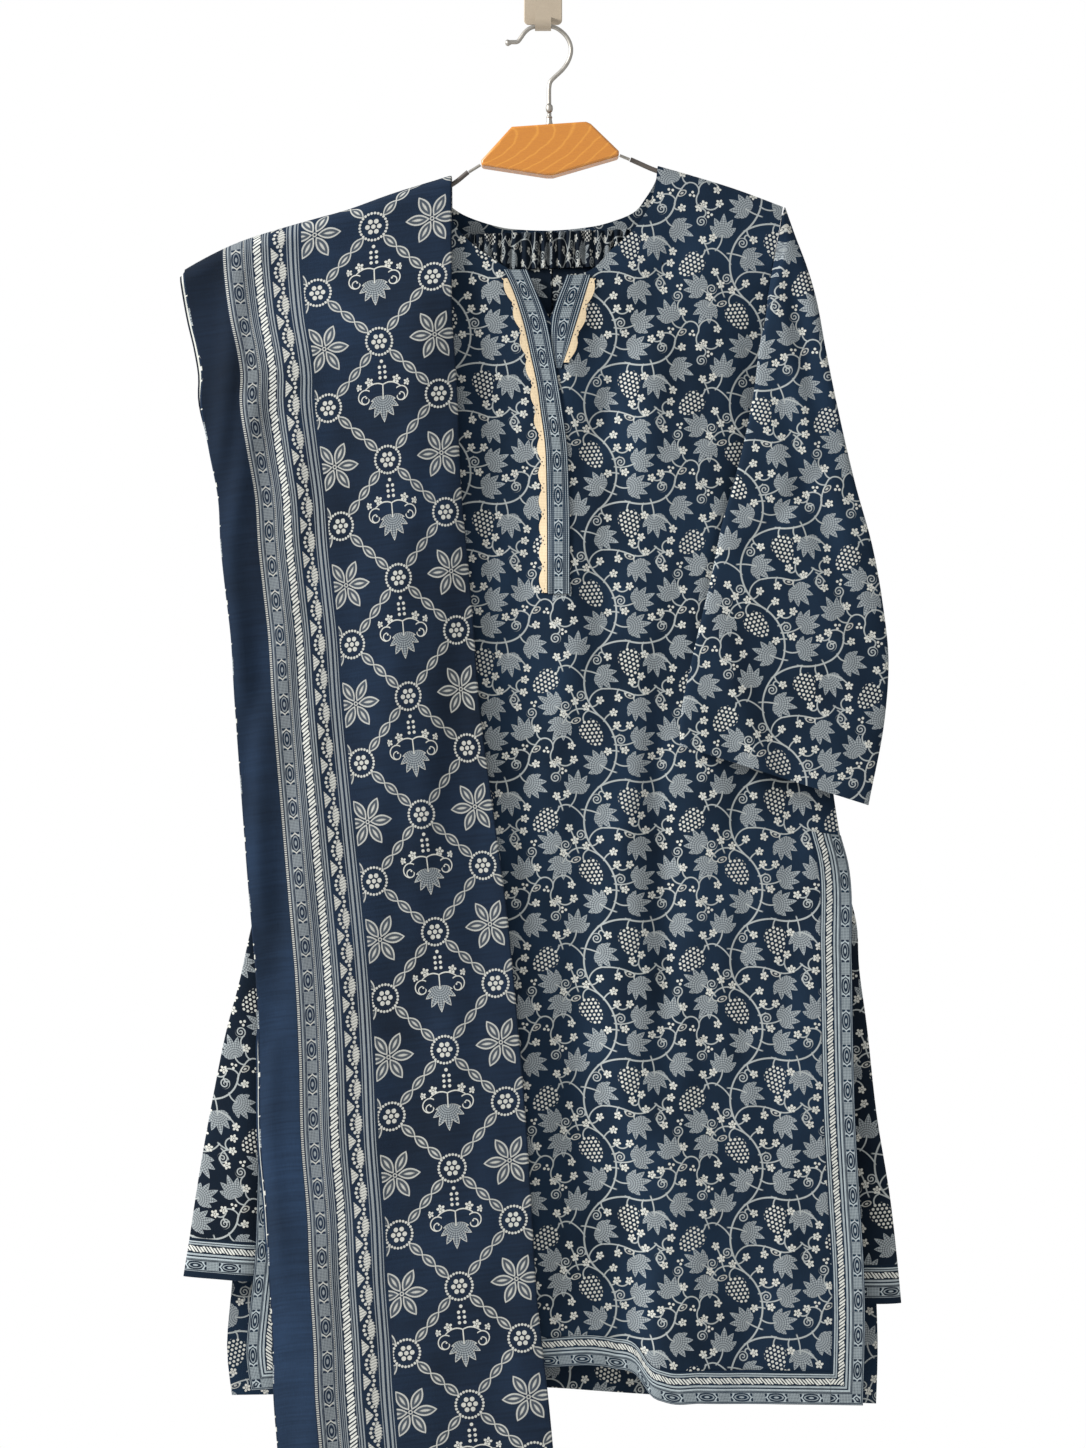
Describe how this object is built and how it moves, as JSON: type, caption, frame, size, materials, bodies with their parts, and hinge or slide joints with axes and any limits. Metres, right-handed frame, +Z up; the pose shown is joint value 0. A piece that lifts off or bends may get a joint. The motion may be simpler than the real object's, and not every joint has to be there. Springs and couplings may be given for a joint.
{
  "type": "salwar kameez suit on hanger",
  "caption": "Kameez with long sleeves, salwar trousers inside it and a folded dupatta over the shoulder, on a hanger hung from a wall hook.",
  "frame": {"origin": "centre of the wall plate's back face, on the wall plane, where the part is held", "axes": "+Z up, +Y into the wall (the suit's front faces -Y), +X towards the viewer's right, which is the wearer's left"},
  "size_m": [0.6358, 0.0608, 1.4241],
  "materials": {
    "navy_print": "navy cotton with an off-white and blue-grey vine print",
    "border_print": "navy cotton strip with printed lines, a cream zigzag and a pale link band",
    "cream_lace": "scalloped cream cotton lace",
    "dupatta_print": "soft navy cotton with a printed lattice and borders",
    "honey_wood": "satin varnished honey wood",
    "satin_nickel": "satin",
    "dark_sleeve": "matt dark tube over the wire",
    "beige_enamel": "satin"
  },
  "bodies": {
    "root": {"wall_plate": "beige_enamel", "wall_tab": "beige_enamel", "hanger_hook": "satin_nickel", "hanger_bead": "satin_nickel", "hanger_ferrule": "satin_nickel", "hanger_block": "honey_wood", "hanger_arm_left": "satin_nickel", "hanger_arm_right": "satin_nickel", "arm_sleeve_left": "dark_sleeve", "arm_sleeve_right": "dark_sleeve", "kameez_front": "navy_print", "kameez_back": "navy_print", "border_slit_left": "border_print", "border_slit_right": "border_print", "border_hem": "border_print", "placket_long": "border_print", "placket_short": "border_print", "lace_long": "cream_lace", "lace_short": "cream_lace", "sleeve_left": "navy_print", "sleeve_right": "navy_print", "salwar_waistband": "navy_print", "salwar_leg_left": "navy_print", "salwar_leg_right": "navy_print", "dupatta_front": "dupatta_print", "dupatta_back": "dupatta_print", "dupatta_front_plies": "dupatta_print", "dupatta_back_plies": "dupatta_print"}
  },
  "joints": []
}
